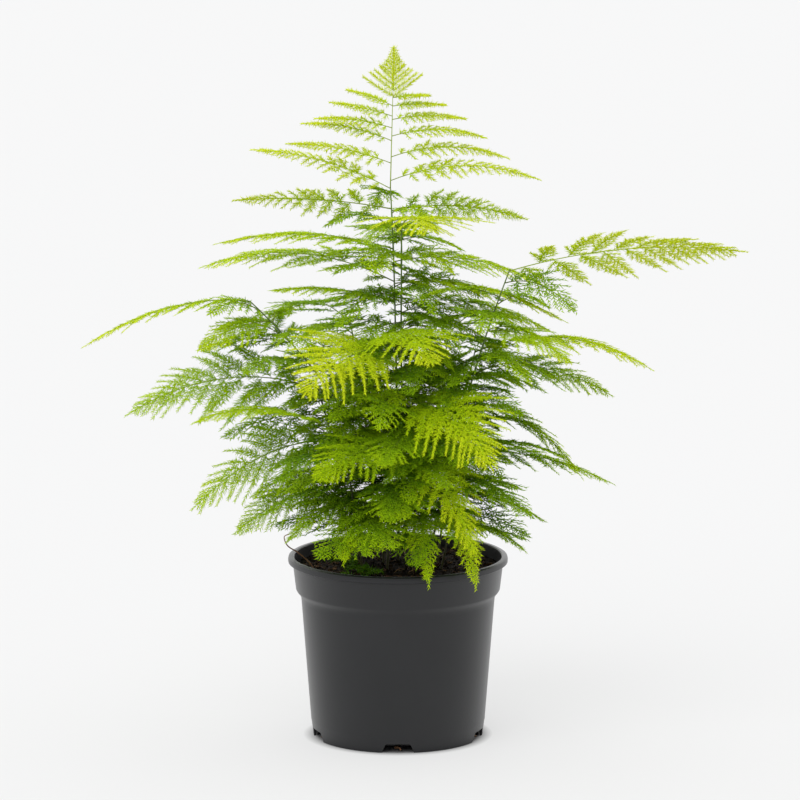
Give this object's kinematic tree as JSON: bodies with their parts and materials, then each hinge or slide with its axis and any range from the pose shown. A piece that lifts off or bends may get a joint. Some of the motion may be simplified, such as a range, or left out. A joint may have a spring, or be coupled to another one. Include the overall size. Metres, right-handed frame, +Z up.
{
  "type": "potted fern",
  "caption": "Feathery asparagus fern: wiry upright and arching stems with flat, finely divided sprays, growing from soil in a round tapered nursery pot.",
  "frame": {"origin": "centre of the pot's foot, on the surface it stands on", "axes": "+Z up along the pot's axis, +X to the right, -Y towards the front"},
  "size_m": [0.361, 0.2075, 0.3794],
  "materials": {
    "pot_plastic": "dark grey moulded plastic, satin",
    "peat": "damp dark peat with fibres",
    "stem": "smooth green, browner low down",
    "foliage": "soft bright green, yellower at the tips",
    "dry_fibre": "dry brown fibre"
  },
  "bodies": {
    "root": {"nursery_pot": "pot_plastic", "potting_soil": "peat", "leader_stem": "stem", "leader_spray_1": "foliage", "leader_spray_2": "foliage", "leader_spray_3": "foliage", "leader_spray_4": "foliage", "leader_spray_5": "foliage", "leader_spray_6": "foliage", "leader_spray_7": "foliage", "leader_spray_8": "foliage", "leader_spray_9": "foliage", "crest_stem": "stem", "crest_spray_1": "foliage", "left_arch_stem": "stem", "left_arch_spray_1": "foliage", "left_arch_spray_2": "foliage", "left_arch_spray_3": "foliage", "right_arch_stem": "stem", "right_arch_spray_1": "foliage", "right_arch_spray_2": "foliage", "front_tall_stem": "stem", "front_tall_spray_1": "foliage", "front_tall_spray_2": "foliage", "front_low_stem": "stem", "front_low_spray_1": "foliage", "front_low_spray_2": "foliage", "front_low_spray_3": "foliage", "front_low_spray_4": "foliage", "front_low_spray_5": "foliage", "front_low_spray_6": "foliage", "left_stem": "stem", "left_spray_1": "foliage", "left_spray_2": "foliage", "left_spray_3": "foliage", "left_low_stem": "stem", "left_low_spray_1": "foliage", "left_low_spray_2": "foliage", "left_low_spray_3": "foliage", "right_stem": "stem", "right_spray_1": "foliage", "right_spray_2": "foliage", "right_spray_3": "foliage", "right_spray_4": "foliage", "right_spray_5": "foliage", "right_low_stem": "stem", "right_low_spray_1": "foliage", "right_low_spray_2": "foliage", "back_left_stem": "stem", "back_left_spray_1": "foliage", "back_left_spray_2": "foliage", "back_left_spray_3": "foliage", "back_right_stem": "stem", "back_right_spray_1": "foliage", "back_right_spray_2": "foliage", "leader_tip_spray": "foliage", "dry_tendril": "dry_fibre", "root_end_1": "dry_fibre", "root_end_2": "dry_fibre", "root_end_3": "dry_fibre"}
  },
  "joints": []
}
